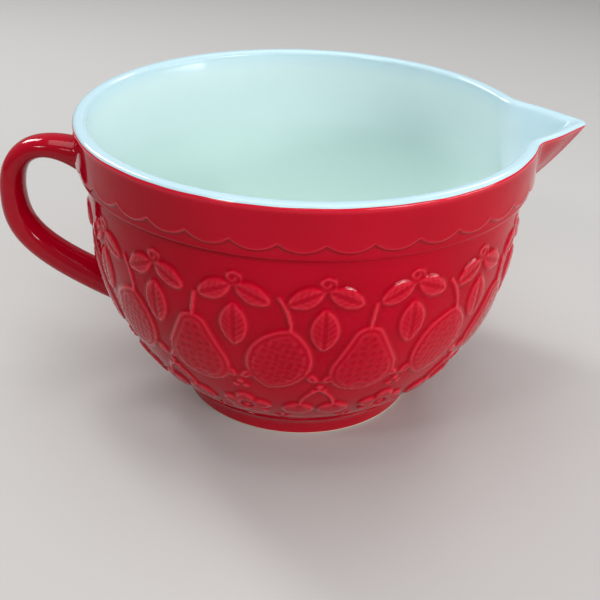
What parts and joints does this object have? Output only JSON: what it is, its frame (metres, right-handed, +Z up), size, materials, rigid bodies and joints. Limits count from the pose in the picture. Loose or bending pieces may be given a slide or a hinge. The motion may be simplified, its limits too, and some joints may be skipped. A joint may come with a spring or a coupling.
{
  "type": "batter bowl",
  "caption": "Round glazed stoneware batter bowl on a foot ring, with a scalloped rim band, a pouring spout, a loop handle and a frieze of fruit in low relief.",
  "frame": {"origin": "centre of the foot ring, on the plane that the bowl stands on", "axes": "+X points out of the spout, -X towards the handle, +Y to the left of the spout seen from above, +Z up"},
  "size_m": [0.2604, 0.2, 0.134],
  "materials": {
    "red_glaze": "glossy red glaze over stoneware",
    "foot_glaze": "glossy red glaze, bare clay where the ring stands",
    "white_glaze": "glossy pale blue-white glaze"
  },
  "bodies": {
    "root": {"foot_ring": "foot_glaze", "bowl_floor": "red_glaze", "lower_wall": "red_glaze", "middle_wall": "red_glaze", "upper_wall": "red_glaze", "rim_collar": "red_glaze", "scallop_band": "red_glaze", "pouring_spout": "red_glaze", "handle": "red_glaze", "liner_glaze": "white_glaze", "relief_pears": "red_glaze", "relief_lemons": "red_glaze", "relief_cherries": "red_glaze", "relief_leaves": "red_glaze", "relief_blossoms": "red_glaze", "relief_stalks": "red_glaze"}
  },
  "joints": []
}
